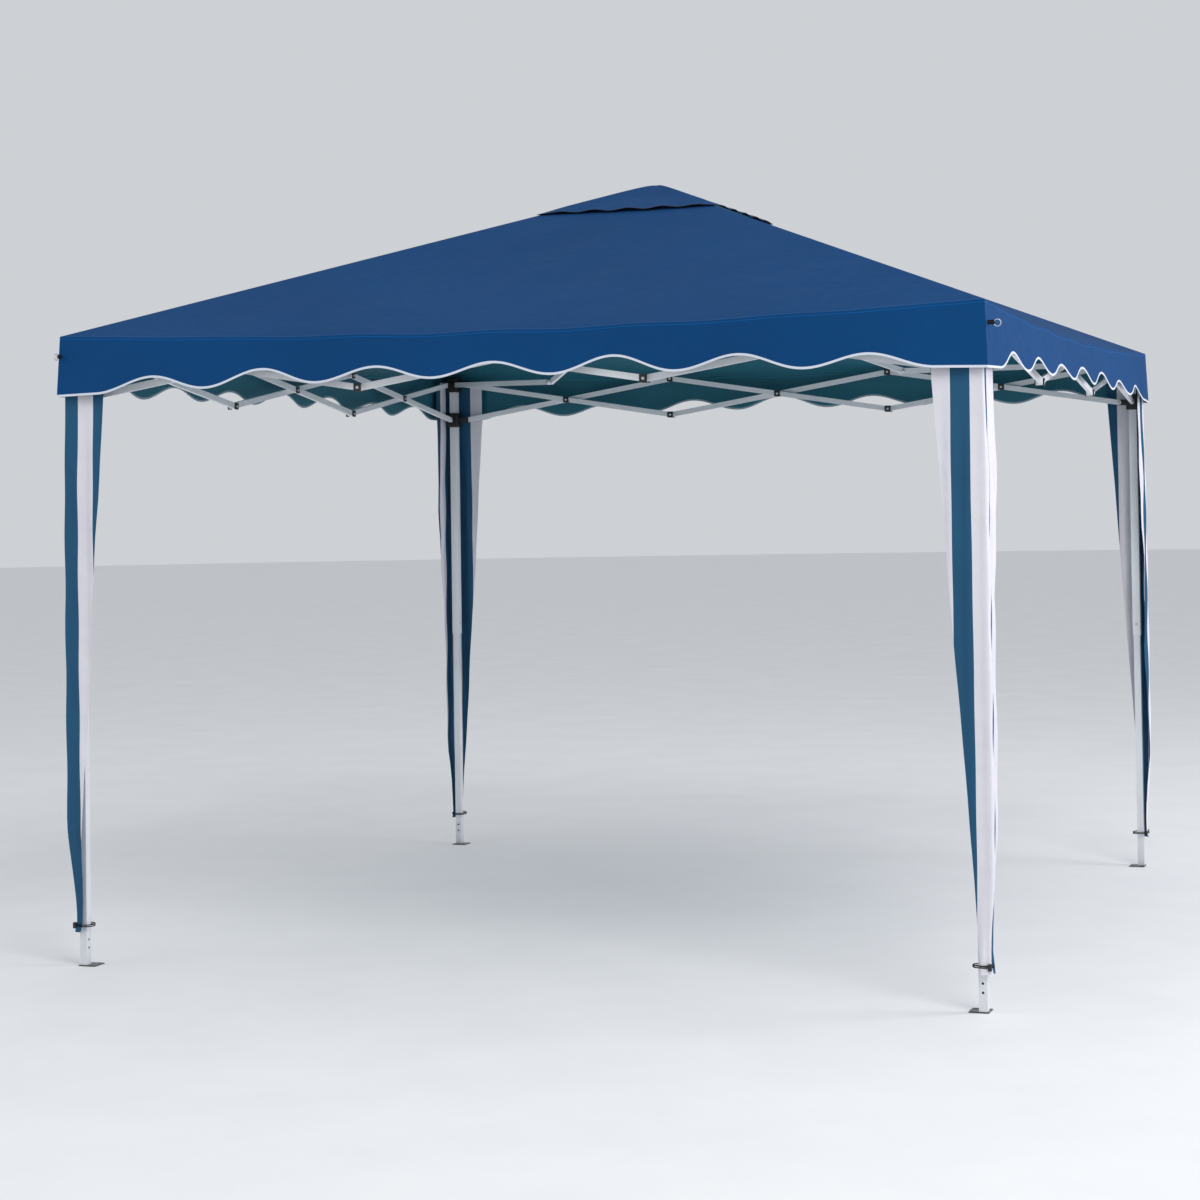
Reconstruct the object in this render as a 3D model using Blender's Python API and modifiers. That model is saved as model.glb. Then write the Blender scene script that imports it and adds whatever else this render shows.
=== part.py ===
"""A 3 x 3 m pop up gazebo: a scissor frame on four telescopic legs, four folding hip rafters that
meet in a hub with a centre pole, and a fabric roof with a vent cap and a gathered drape on each leg.

Everything is modelled for the front right corner and turned by quarter turns for the other three.
The frame folds with one angle: every truss bar and rafter turns by the same amount, either way."""

import math

import bmesh
import bpy
from mathutils import Matrix, Vector

# Driving dimensions, in metres and degrees
LEG_AT = 1.455  # from the middle of the gazebo to a leg's centreline, along X and Y
EAVE_HALF, EAVE_Z = 1.500, 2.005
VALANCE_HALF, VALANCE_Z = 1.508, 1.810
ROOF_RISE = 0.575  # from the eave to where the roof planes would meet
VENT_HALF, CAP_HALF, CAP_GAP = 0.27, 0.33, 0.012
CLOTH = 0.003  # thickness that stands for a fabric
PIVOT_Z = 1.965  # truss and rafter pivots on the leg's top bracket
TRUSS_DROP = 0.150  # from an upper truss pivot to the lower one below it
LUG = 0.055  # from a leg's centreline to a truss pivot
RAFTER_LUG, HUB_LUG = 0.045, math.sqrt(2) * 0.055 - 0.045
RAFTER_TILT = 7.0  # half of the sum of the two rafters' slopes
BAR_WIDE, BAR_THICK = 0.020, 0.012
TUBE, TUBE_WALL, INNER_TUBE = 0.030, 0.0015, 0.025
OUTER_FOOT_Z, OUTER_TOP_Z, INNER_TOP_Z = 0.900, 1.985, 1.100
FOOT_SIDE, FOOT_THICK, FOOT_SHIFT = 0.058, 0.003, 0.013
ADJUST_HOLES_Z = (0.057, 0.083)
BLOCK = 0.048  # outside of the plastic bracket and slider
SLIDER_TALL, BRACKET_LOW_Z, BRACKET_TOP_Z = 0.060, 1.935, 1.996
LUG_THICK = 0.004
GAP = 0.0003
DRAPE_AT, DRAPE_TOP_Z, DRAPE_FOOT_Z = 0.034, 1.975, 0.110
DRAPE_WIDE, DRAPE_NARROW = 0.190, 0.045
PIN_R = 0.003
POLE_R, POLE_TOP_Z, MUSHROOM_R = 0.012, 2.552, 0.045
BUTTON_R, BUTTON_DEEP, BUTTON_OUT = 0.007, 0.006, 0.005

# The linkage at rest
UNIT = 2 * (LEG_AT - LUG) / 3  # width of one of the three scissors on a side
BAR = math.hypot(UNIT, TRUSS_DROP)
SCISSOR = math.atan2(TRUSS_DROP, UNIT)  # slope of the truss bars
TILT = math.radians(RAFTER_TILT)
RAFTER = 1.5 * BAR * math.sqrt(2) / (2 * math.cos(TILT))
HUB_Z = PIVOT_Z + 2 * RAFTER * math.sin(TILT) * math.cos(SCISSOR)
SIDE_STEP = BAR_THICK / 2 + GAP / 2  # a bar's middle from the plane it shares with its partner
CORNERS = ("front_right", "rear_right", "rear_left", "front_left")
UP = Vector((0, 0, 1))
CORNER = Vector((LEG_AT, -LEG_AT, 0))
OUTWARD = Vector((1, -1, 0)).normalized()

for old in list(bpy.data.objects):
    bpy.data.objects.remove(old)


def new_collection(name):
    made = bpy.data.collections.new(name)
    bpy.context.scene.collection.children.link(made)
    return made


PARTS = new_collection("pop_up_gazebo")
CUTTERS = new_collection("cutters")


def material(name, colour, roughness, metallic=0.0):
    made = bpy.data.materials.new(name)
    made.use_nodes = True
    shader = made.node_tree.nodes["Principled BSDF"]
    shader.inputs["Base Color"].default_value = (*colour, 1)
    shader.inputs["Roughness"].default_value = roughness
    shader.inputs["Metallic"].default_value = metallic
    return made


WHITE_STEEL = material("white_steel", (0.78, 0.79, 0.80), 0.35, 0.1)
BLACK_PLASTIC = material("black_plastic", (0.03, 0.03, 0.035), 0.5)
BUTTON_PLASTIC = material("button_plastic", (0.06, 0.06, 0.07), 0.4)
BLUE_CLOTH = material("blue_cloth", (0.01, 0.06, 0.26), 0.8)
STRIPED_CLOTH = material("striped_cloth", (0.55, 0.60, 0.70), 0.8)


def helper(bm):
    """A hidden mesh object for a Boolean."""
    mesh = bpy.data.meshes.new("cutter")
    bm.to_mesh(mesh)
    bm.free()
    made = bpy.data.objects.new("cutter", mesh)
    CUTTERS.objects.link(made)
    made.hide_render = True
    made.display_type = "WIRE"
    return made


def block(low, high, turn=0.0, about=(0, 0, 0)):
    """A box between two corners, turned about the vertical through a point."""
    low, high = Vector(low), Vector(high)
    bm = bmesh.new()
    size = high - low
    place = Matrix.Translation((low + high) / 2) @ Matrix.Diagonal((*size, 1))
    bmesh.ops.create_cube(bm, size=1, matrix=place)
    swing = Matrix.Translation(about) @ Matrix.Rotation(turn, 4, "Z") @ Matrix.Translation(-Vector(about))
    bmesh.ops.transform(bm, matrix=swing, verts=bm.verts)
    return helper(bm)


def square_block(middle, side, low_z, high_z):
    x, y = middle[0], middle[1]
    return block((x - side / 2, y - side / 2, low_z), (x + side / 2, y + side / 2, high_z))


def rod(middle, axis, radius, length, segments=20):
    """A cylinder about a point."""
    bm = bmesh.new()
    turn = Vector(axis).to_track_quat("Z", "Y").to_matrix().to_4x4()
    bmesh.ops.create_cone(
        bm, cap_ends=True, segments=segments, radius1=radius, radius2=radius, depth=length,
        matrix=Matrix.Translation(middle) @ turn,
    )
    return helper(bm)


def combined(start, joined=(), cut=(), bevel=0.0):
    """The mesh of a helper with others joined to it and cut from it."""
    if bevel:
        edge = start.modifiers.new("edge", "BEVEL")
        edge.width, edge.segments = bevel, 2
    for tool, kind in [(t, "UNION") for t in joined] + [(t, "DIFFERENCE") for t in cut]:
        step = start.modifiers.new(kind.lower(), "BOOLEAN")
        step.operation, step.solver, step.object = kind, "EXACT", tool
    bpy.context.view_layer.update()
    mesh = bpy.data.meshes.new_from_object(start.evaluated_get(bpy.context.evaluated_depsgraph_get()))
    for used in (start, *joined, *cut):
        bpy.data.objects.remove(used)
    return mesh


def arc(centre, radius, first, last, count):
    steps = [first + (last - first) * i / (count - 1) for i in range(count)]
    return [(centre + radius * math.cos(a), radius * math.sin(a)) for a in steps]


def bar_curve(name, length, holes):
    """A flat bar along X from its first pivot, round at both ends, with pivot holes."""
    curve = bpy.data.curves.new(name, "CURVE")
    curve.dimensions, curve.fill_mode, curve.extrude = "2D", "BOTH", BAR_THICK / 2
    half = BAR_WIDE / 2
    outline = arc(length, half, -math.pi / 2, math.pi / 2, 7) + arc(0, half, math.pi / 2, 1.5 * math.pi, 7)
    rims = [arc(at, PIN_R, 0, 2 * math.pi * 7 / 8, 8) for at in holes]
    for points in [outline, *rims]:
        spline = curve.splines.new("POLY")
        spline.points.add(len(points) - 1)
        for point, (x, y) in zip(spline.points, points):
            point.co = (x, y, 0, 1)
        spline.use_cyclic_u = True
    return curve


def bar_place(start, direction, side):
    """The matrix of a bar that starts at a point, runs along a direction and has its flat face to a side."""
    along, across = direction.normalized(), side.normalized()
    turn = Matrix((along, across.cross(along), across)).transposed().to_4x4()
    return Matrix.Translation(start) @ turn


# Shapes of the front right corner, in place
def outer_leg_mesh():
    tube = square_block(CORNER, TUBE, OUTER_FOOT_Z, OUTER_TOP_Z)
    hollow = square_block(CORNER, TUBE - 2 * TUBE_WALL, OUTER_FOOT_Z - 0.01, OUTER_TOP_Z + 0.01)
    return combined(tube, cut=[hollow])


def inner_leg_mesh():
    """The sliding tube with its welded foot plate, which reaches inwards."""
    foot_at = CORNER + Vector((-FOOT_SHIFT, FOOT_SHIFT, 0))
    tube = square_block(CORNER, INNER_TUBE, FOOT_THICK / 2, INNER_TOP_Z)
    plate = square_block(foot_at, FOOT_SIDE, 0, FOOT_THICK)
    hollow = square_block(CORNER, INNER_TUBE - 2 * TUBE_WALL, FOOT_THICK * 2, INNER_TOP_Z + 0.01)
    holes = [
        rod(CORNER + UP * z, (0, 1, 0), 0.004, 2 * INNER_TUBE, 12) for z in ADJUST_HOLES_Z
    ]
    peg = rod(foot_at + Vector((-0.018, 0.018, 0)), UP, 0.005, 0.02, 12)
    return combined(tube, joined=[plate], cut=[hollow, *holes, peg])


def truss_lugs(z, sign):
    """The plates that hold a truss bar each way, on the side of the shared plane that the bar leaves free."""
    reach, deep = LUG + 0.010, 0.011
    first, last = sorted((-sign * GAP / 2, -sign * (GAP / 2 + LUG_THICK)))
    x, y = LEG_AT, -LEG_AT
    along_y = block((x + first, y + TUBE / 2 + GAP * 2, z - deep), (x + last, y + reach, z + deep))
    along_x = block((x - reach, y + first, z - deep), (x - TUBE / 2 - GAP * 2, y + last, z + deep))
    return [along_y, along_x]


def top_bracket_mesh():
    body = square_block(CORNER, BLOCK, BRACKET_LOW_Z, BRACKET_TOP_Z)
    hollow = square_block(CORNER, TUBE + 2 * GAP, BRACKET_LOW_Z - 0.01, OUTER_TOP_Z + GAP)
    reach = RAFTER_LUG + 0.009
    hip_lug = block(
        (0.024, GAP / 2, PIVOT_Z - 0.011), (reach, GAP / 2 + LUG_THICK, PIVOT_Z + 0.011)
    )
    hip_lug.data.transform(Matrix.Translation(CORNER) @ Matrix.Rotation(math.radians(135), 4, "Z"))
    return combined(body, joined=[*truss_lugs(PIVOT_Z, 1), hip_lug], cut=[hollow], bevel=0.003)


def slider_mesh():
    z = PIVOT_Z - TRUSS_DROP
    body = square_block(CORNER, BLOCK, z - SLIDER_TALL / 2, z + SLIDER_TALL / 2)
    hollow = square_block(CORNER, TUBE + 4 * GAP, z - SLIDER_TALL, z + SLIDER_TALL)
    face = CORNER + Vector((0, -BLOCK / 2, z))
    pocket = rod(face, (0, 1, 0), BUTTON_R + GAP, 2 * BUTTON_DEEP)
    return combined(body, joined=truss_lugs(z, -1), cut=[hollow, pocket], bevel=0.003)


def slider_button_mesh():
    """The push button that frees the slider, at rest standing out of its pocket."""
    face = CORNER + Vector((0, -BLOCK / 2, PIVOT_Z - TRUSS_DROP))
    inside, outside = 0.0022, BUTTON_OUT
    middle = face + Vector((0, (inside - outside) / 2, 0))
    return combined(rod(middle, (0, 1, 0), BUTTON_R, inside + outside), bevel=0.001)


def drape_mesh():
    """The gathered corner curtain: an L in plan that narrows downwards."""
    at = LEG_AT + DRAPE_AT
    bm = bmesh.new()
    rows = []
    for z, wide in ((DRAPE_FOOT_Z, DRAPE_NARROW), (DRAPE_TOP_Z, DRAPE_WIDE)):
        rows.append([bm.verts.new(p) for p in ((at - wide, -at, z), (at, -at, z), (at, wide - at, z))])
    for i in range(2):
        bm.faces.new((rows[0][i], rows[0][i + 1], rows[1][i + 1], rows[1][i]))
    sheet = helper(bm)
    skin = sheet.modifiers.new("cloth", "SOLIDIFY")
    skin.thickness, skin.offset, skin.use_even_offset = CLOTH, -1, True
    return combined(sheet)


# Shapes in the middle
def hub_mesh():
    core_half, low, high = 0.016, HUB_Z - 0.016, HUB_Z + 0.020
    core = block((-core_half, -core_half, low), (core_half, core_half, high), math.radians(45))
    lugs = []
    for k in range(4):
        turn = math.radians(-45 + 90 * k)
        lugs.append(
            block((0.004, GAP / 2, HUB_Z - 0.010), (HUB_LUG + 0.009, GAP / 2 + LUG_THICK, HUB_Z + 0.010), turn)
        )
    socket = rod((0, 0, high + 0.008), UP, POLE_R + GAP, 0.040, 24)
    collar = rod((0, 0, high + 0.008), UP, POLE_R + 0.005, 0.020, 24)
    return combined(core, joined=[*lugs, collar], cut=[socket])


def centre_pole():
    """The pole and its mushroom cap, turned about the vertical."""
    foot = HUB_Z + 0.020 - 0.012 + GAP
    profile = [
        (0, POLE_TOP_Z), (MUSHROOM_R * 0.55, POLE_TOP_Z - 0.004), (MUSHROOM_R * 0.9, POLE_TOP_Z - 0.013),
        (MUSHROOM_R, POLE_TOP_Z - 0.024), (MUSHROOM_R * 0.9, POLE_TOP_Z - 0.027),
        (POLE_R + 0.004, POLE_TOP_Z - 0.030), (POLE_R, POLE_TOP_Z - 0.045), (POLE_R, foot), (0, foot),
    ]
    bm = bmesh.new()
    points = [bm.verts.new((r, 0, z)) for r, z in profile]
    for a, b in zip(points, points[1:]):
        bm.edges.new((a, b))
    turned = helper(bm)
    screw = turned.modifiers.new("turn", "SCREW")
    screw.steps = screw.render_steps = 24
    screw.use_merge_vertices, screw.merge_threshold = True, 0.0001
    return combined(turned)


def roof_z(half):
    """Height of the roof plane where its square is this wide."""
    return EAVE_Z + ROOF_RISE * (1 - half / EAVE_HALF)


def square_cone(low_half, low_z, high_half, high_z):
    """An open four-sided cone with its sides along X and Y."""
    bm = bmesh.new()
    place = Matrix.Translation((0, 0, (low_z + high_z) / 2)) @ Matrix.Rotation(math.radians(45), 4, "Z")
    bmesh.ops.create_cone(
        bm, cap_ends=False, segments=4, radius1=low_half * math.sqrt(2), radius2=high_half * math.sqrt(2),
        depth=high_z - low_z, matrix=place,
    )
    return bm


def clothed(bm):
    sheet = helper(bm)
    skin = sheet.modifiers.new("cloth", "SOLIDIFY")
    skin.thickness, skin.offset, skin.use_even_offset = CLOTH, -1, True
    return combined(sheet)


def canopy_mesh():
    """The roof from the vent opening to the eave, and the valance below it."""
    bm = square_cone(EAVE_HALF, EAVE_Z, VENT_HALF, roof_z(VENT_HALF))
    eave = [e for e in bm.edges if all(abs(v.co.z - EAVE_Z) < 1e-5 for v in e.verts)]
    hem = [g for g in bmesh.ops.extrude_edge_only(bm, edges=eave)["geom"] if isinstance(g, bmesh.types.BMVert)]
    for v in hem:
        v.co = (v.co.x * VALANCE_HALF / EAVE_HALF, v.co.y * VALANCE_HALF / EAVE_HALF, VALANCE_Z)
    bmesh.ops.recalc_face_normals(bm, faces=bm.faces)
    return clothed(bm)


def vent_cap_mesh():
    """The small roof over the vent, which stands a little clear of the canopy."""
    peak_half = 0.02
    bm = square_cone(CAP_HALF, roof_z(CAP_HALF) + CAP_GAP, peak_half, roof_z(peak_half) + CAP_GAP)
    rim = [e for e in bm.edges if all(v.co.z > EAVE_Z + ROOF_RISE * 0.9 for v in e.verts)]
    bmesh.ops.contextual_create(bm, geom=rim)
    bmesh.ops.recalc_face_normals(bm, faces=bm.faces)
    return clothed(bm)


# Bodies: an empty on each joint axis, with its pieces under it
def body(name, parent, place):
    made = bpy.data.objects.new("joint_" + name, None)
    PARTS.objects.link(made)
    made.empty_display_size = 0.05
    made.location = place
    bpy.context.view_layer.update()
    if parent:
        made.parent = parent
        made.matrix_parent_inverse = parent.matrix_world.inverted()
        bpy.context.view_layer.update()
    return made


def piece(name, data, finish, owner, place=None):
    made = bpy.data.objects.new(name, data)
    PARTS.objects.link(made)
    if not data.materials:
        data.materials.append(finish)
    made.parent = owner
    made.matrix_parent_inverse = owner.matrix_world.inverted()
    made.matrix_basis = place or Matrix.Identity(4)
    return made


def truss_bars(along, normal, sign):
    """(name, joint point, matrix) of the three bars that a leg carries along one side."""
    foot = CORNER + along * LUG
    top, low = foot + UP * PIVOT_Z, foot + UP * (PIVOT_Z - TRUSS_DROP)
    next_top = top + along * UNIT
    rising = along * UNIT + UP * TRUSS_DROP
    falling = along * UNIT - UP * TRUSS_DROP
    shift = normal * (sign * SIDE_STEP)
    return [
        ("down", top, bar_place(top + shift, falling, normal)),
        ("up", (low + next_top) / 2, bar_place(low - shift, rising, normal)),
        ("middle", next_top, bar_place(next_top + shift, falling, normal)),
    ]


def build():
    root = body("hub", None, (0, 0, HUB_Z))
    piece("hub", hub_mesh(), BLACK_PLASTIC, root)
    piece("centre_pole", centre_pole(), WHITE_STEEL, root)
    piece("canopy", canopy_mesh(), BLUE_CLOTH, root)
    piece("vent_cap", vent_cap_mesh(), BLUE_CLOTH, root)

    truss = bar_curve("truss_bar", BAR, (0, BAR / 2, BAR))
    rafter = bar_curve("rafter", RAFTER, (0, RAFTER))
    shared = {
        "outer_leg": outer_leg_mesh(), "inner_leg": inner_leg_mesh(), "top_bracket": top_bracket_mesh(),
        "slider": slider_mesh(), "slider_button": slider_button_mesh(), "drape": drape_mesh(),
    }
    across = UP.cross(OUTWARD)
    hub_pin = OUTWARD * HUB_LUG + UP * HUB_Z
    leg_pin = OUTWARD * (LEG_AT * math.sqrt(2) - RAFTER_LUG) + UP * PIVOT_Z
    slope = TILT + SCISSOR
    elbow = hub_pin + RAFTER * (OUTWARD * math.cos(slope) - UP * math.sin(slope))
    inner_place = bar_place(hub_pin - across * SIDE_STEP, elbow - hub_pin, across)
    outer_place = bar_place(elbow + across * SIDE_STEP, leg_pin - elbow, across)
    sides = (("next", Vector((0, 1, 0)), Vector((1, 0, 0)), 1), ("last", Vector((-1, 0, 0)), Vector((0, -1, 0)), -1))
    slider_at = CORNER + UP * (PIVOT_Z - TRUSS_DROP)

    for k, corner in enumerate(CORNERS):
        turn = Matrix.Rotation(k * math.pi / 2, 4, "Z")
        inner = body(f"inner_rafter_{corner}", root, turn @ hub_pin)
        piece(f"inner_rafter_{corner}", rafter, WHITE_STEEL, inner, turn @ inner_place)
        outer = body(f"outer_rafter_{corner}", inner, turn @ elbow)
        piece(f"outer_rafter_{corner}", rafter, WHITE_STEEL, outer, turn @ outer_place)
        leg = body(f"leg_{corner}", outer, turn @ leg_pin)
        piece(f"outer_leg_{corner}", shared["outer_leg"], WHITE_STEEL, leg, turn)
        piece(f"top_bracket_{corner}", shared["top_bracket"], BLACK_PLASTIC, leg, turn)
        piece(f"drape_{corner}", shared["drape"], STRIPED_CLOTH, leg, turn)
        foot = body(f"foot_{corner}", leg, turn @ CORNER)
        piece(f"inner_leg_{corner}", shared["inner_leg"], WHITE_STEEL, foot, turn)
        for side, along, normal, sign in sides:
            owner = leg
            for kind, pin, place in truss_bars(along, normal, sign):
                owner = body(f"bar_{kind}_{side}_{corner}", owner, turn @ pin)
                piece(f"bar_{kind}_{side}_{corner}", truss, WHITE_STEEL, owner, turn @ place)
                if (kind, side) == ("up", "next"):
                    slide_on = owner
        slider = body(f"slider_{corner}", slide_on, turn @ (slider_at + sides[0][1] * LUG))
        piece(f"slider_{corner}", shared["slider"], BLACK_PLASTIC, slider, turn)
        button = body(f"button_{corner}", slider, turn @ (slider_at + Vector((0, -BLOCK / 2, 0))))
        piece(f"slider_button_{corner}", shared["slider_button"], BUTTON_PLASTIC, button, turn)


build()
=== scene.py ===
"""Looks of the pop up gazebo: cloth, fittings, materials, light and camera."""

import math

import bmesh
import bpy
import numpy as np
from mathutils import Matrix, Vector


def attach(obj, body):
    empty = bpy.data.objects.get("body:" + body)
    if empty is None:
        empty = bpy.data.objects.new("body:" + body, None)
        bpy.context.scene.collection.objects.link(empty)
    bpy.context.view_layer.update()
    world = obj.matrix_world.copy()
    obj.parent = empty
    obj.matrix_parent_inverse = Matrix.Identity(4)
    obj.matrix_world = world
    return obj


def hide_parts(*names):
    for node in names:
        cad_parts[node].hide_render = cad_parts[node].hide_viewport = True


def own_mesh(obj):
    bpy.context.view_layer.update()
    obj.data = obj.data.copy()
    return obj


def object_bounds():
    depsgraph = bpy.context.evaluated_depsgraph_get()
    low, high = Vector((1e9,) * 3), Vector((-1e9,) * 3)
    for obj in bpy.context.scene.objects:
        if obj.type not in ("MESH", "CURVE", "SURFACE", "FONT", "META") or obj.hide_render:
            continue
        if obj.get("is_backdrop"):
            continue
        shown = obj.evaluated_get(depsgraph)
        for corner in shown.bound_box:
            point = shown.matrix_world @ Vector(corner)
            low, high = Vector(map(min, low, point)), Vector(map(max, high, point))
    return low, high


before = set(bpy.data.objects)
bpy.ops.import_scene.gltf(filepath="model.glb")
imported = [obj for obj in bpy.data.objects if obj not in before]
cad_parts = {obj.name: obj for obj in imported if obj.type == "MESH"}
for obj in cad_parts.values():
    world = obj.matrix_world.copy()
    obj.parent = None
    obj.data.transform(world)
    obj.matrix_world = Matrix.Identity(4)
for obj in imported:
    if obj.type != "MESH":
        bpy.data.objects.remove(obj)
cad_low, cad_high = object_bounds()
CORNERS = ("front_right", "rear_right", "rear_left", "front_left")
TAU = 2 * math.pi

# Places in the frame, in metres
EAVE, EAVE_Z, RISE, HEM_Z = 1.5, 2.005, 0.575, 1.812
SLOPE = math.hypot(RISE, EAVE) / EAVE  # length up the roof for each metre inwards
VENT, CAP, CAP_GAP = 0.27, 0.33, 0.012
LEG, LUG, UNIT, DROP, PIVOT_Z = 1.455, 0.055, 2.8 / 3, 0.150, 1.965
SPLITS = (0.0, LEG - LUG - UNIT, (LEG - LUG - UNIT) + UNIT / 2, 1.4995)
BARS = ("middle", "up", "down")
THICK = 0.0015
DRAPE_AT, DRAPE_TOP, DRAPE_LOW, TIE_Z = LEG + 0.034, 1.975, 0.110, 0.130
STEP = 1e-4  # for normals by differences

# How far the slack eave would hang at each bar as the frame folds; the eave points made from it below
# are not used
EAVE_HANG = (0.036, 0.028, 0.010)  # how far the slack eave hangs at each bar, from the middle out

# Slots of the cloth materials on a roof piece. The third is the hem binding; on the vent cap it is a
# black band, painted shadow of the gap under the cap's rim
OUTSIDE, INSIDE, BINDING_AND_GAP_SHADE, BOUND_INSIDE = 0, 1, 2, 3


# ---------------------------------------------------------------- materials
class Tree:
    """A material's node tree, with short calls to add nodes and join them."""

    def __init__(self, name, **sockets):
        self.material = bpy.data.materials.new(name)
        self.material.use_nodes = True
        self.tree = self.material.node_tree
        self.shader = self.tree.nodes["Principled BSDF"]
        for key, value in sockets.items():
            self.shader.inputs[key.replace("_", " ")].default_value = value

    def put(self, socket, value):
        if isinstance(value, bpy.types.NodeSocket):
            self.tree.links.new(value, socket)
        else:
            socket.default_value = value

    def node(self, kind, settings=None, **inputs):
        made = self.tree.nodes.new("ShaderNode" + kind)
        for key, value in (settings or {}).items():
            setattr(made, key, value)
        for key, value in inputs.items():
            self.put(made.inputs[key.replace("_", " ")], value)
        return made

    def coords(self, output="Object"):
        return self.node("TexCoord").outputs[output]

    def noise(self, scale, detail=3.0, rough=0.5, where=None, stretch=None):
        where = where or self.coords()
        if stretch:
            where = self.node("Mapping", Vector=where, Scale=stretch).outputs[0]
        made = self.node("TexNoise", Vector=where, Scale=scale, Detail=detail, Roughness=rough)
        return made.outputs["Fac"]

    def math(self, kind, a, b=0.0):
        made = self.tree.nodes.new("ShaderNodeMath")
        made.operation = kind
        self.put(made.inputs[0], a)
        self.put(made.inputs[1], b)
        return made.outputs[0]

    def span(self, value, low, high, start=0.0, end=1.0):
        made = self.node("MapRange", {"clamp": True})
        for place, item in zip((0, 1, 2, 3, 4), (value, start, end, low, high)):
            self.put(made.inputs[place], item)
        return made.outputs[0]

    def mix(self, share, first, second):
        made = self.node("Mix", {"data_type": "RGBA"})
        self.put(made.inputs[0], share)
        self.put(made.inputs[6], first if not isinstance(first, tuple) else (*first, 1))
        self.put(made.inputs[7], second if not isinstance(second, tuple) else (*second, 1))
        return made.outputs[2]

    def bump(self, height, strength, distance, under=None):
        made = self.node("Bump", Strength=strength, Distance=distance, Height=height)
        if under is not None:
            self.put(made.inputs["Normal"], under)
        return made.outputs[0]

    def finish(self, colour, rough, normal):
        self.put(self.shader.inputs["Base Color"], colour)
        self.put(self.shader.inputs["Roughness"], rough)
        self.put(self.shader.inputs["Normal"], normal)
        return self.material


def shade(colour, by):
    return tuple(min(1.0, c * by) for c in colour)


WEAVE_SCALE, WELT, STITCHES = 190.0, 0.007, 250.0
STITCH_LINE, WELT_EDGE = (0.0006, 0.0014), (0.009, 0.011)


def cloth_material(
    name, colour, rough=0.82, sheen=0.02, crease=0.30, seams=True, depth=0.10, gloss=0.10
):
    """Coated polyester: a plain weave by UV, soft creases, a mottled tone and stitched seams."""
    t = Tree(name, Sheen_Weight=sheen, Sheen_Roughness=0.45, Specular_IOR_Level=gloss)
    uv = t.coords("UV")
    blotch = t.noise(1.1, 4.0, 0.6)
    fine = t.noise(34.0, 4.0, 0.65)
    dark, pale = shade(colour, 1 - depth), shade(colour, 1 + depth)
    tone = t.mix(t.span(blotch, 0.0, 1.0, 0.32, 0.68), dark, pale)
    tone = t.mix(t.span(fine, 0.0, 0.35, 0.35, 0.75), tone, shade(colour, 1 + 1.6 * depth))
    bands = dict(Vector=uv, Scale=WEAVE_SCALE, Distortion=0.4)
    warp = t.node("TexWave", {"bands_direction": "X"}, **bands).outputs["Fac"]
    weft = t.node("TexWave", {"bands_direction": "Y"}, **bands).outputs["Fac"]
    weave = t.math("MULTIPLY", warp, weft)
    tone = t.mix(t.span(weave, 0.10, 0.0), tone, shade(colour, 0.72))
    folds = t.noise(5.0, 5.0, 0.55, stretch=(1.0, 1.0, 1.6))
    rucks = t.noise(22.0, 3.0, 0.6, stretch=(1.0, 1.0, 0.5))
    normal = t.bump(folds, crease, 0.020)
    normal = t.bump(rucks, crease * 0.5, 0.004, normal)
    if seams:
        parts = t.node("SeparateXYZ", Vector=uv).outputs
        off_seam = t.math("ABSOLUTE", t.math("SUBTRACT", t.math("ABSOLUTE", parts[1]), WELT))
        line = t.span(off_seam, 1.0, 0.0, *STITCH_LINE)
        along = t.math("FRACT", t.math("MULTIPLY", parts[0], STITCHES))
        gap = t.math("GREATER_THAN", along, 0.35)
        stitch = t.math("MULTIPLY", line, gap)
        tone = t.mix(stitch, tone, shade(colour, 2.2))
        welt = t.span(t.math("ABSOLUTE", parts[1]), 1.0, 0.0, *WELT_EDGE)
        normal = t.bump(welt, 0.6, 0.0008, normal)
        normal = t.bump(stitch, 0.5, 0.0004, normal)
    normal = t.bump(weave, 0.35, 0.0003, normal)
    return t.finish(tone, t.span(fine, rough - 0.07, rough + 0.07, 0.3, 0.7), normal)


LOW_DARK_TONE, FOOT_PLATE, FOOT_TOP = (0.34, 0.31, 0.27), (0.035, 0.032, 0.030), (0.0031, 0.0034)


def steel_material(name, colour, rough, metal=0.0, low_darkening=0.35, dark_foot=False):
    """Powder coat over tube: orange peel, faint handling marks and a brownish darkening in patches
    towards the bottom.
    """
    t = Tree(name, Metallic=metal, Specular_IOR_Level=0.5, Coat_Weight=0.15, Coat_Roughness=0.25)
    peel = t.noise(420.0, 2.0)
    marks = t.noise(16.0, 6.0, 0.7, stretch=(1.0, 1.0, 0.35))
    patches = t.noise(3.2, 3.0)
    height = t.node("SeparateXYZ", Vector=t.coords()).outputs[2]
    # Darker towards the bottom, in patches, fading out by 0.45 m up
    low = t.span(height, low_darkening, 0.0, 0.0, 0.45)
    low_dark_mask = t.math("MULTIPLY", low, t.span(marks, 0.0, 1.0, 0.45, 0.7))
    dark, pale = shade(colour, 0.95), shade(colour, 1.03)
    tone = t.mix(t.span(patches, 0.0, 1.0, 0.35, 0.65), dark, pale)
    tone = t.mix(t.span(marks, 0.0, 0.4, 0.60, 0.72), tone, shade(colour, 0.84))
    tone = t.mix(low_dark_mask, tone, LOW_DARK_TONE)
    if dark_foot:
        tone = t.mix(t.span(height, 1.0, 0.0, *FOOT_TOP), tone, FOOT_PLATE)
    normal = t.bump(peel, 0.10, 0.0004)
    normal = t.bump(marks, 0.06, 0.0010, normal)
    return t.finish(tone, t.span(marks, rough - 0.06, rough + 0.16, 0.35, 0.72), normal)


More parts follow.
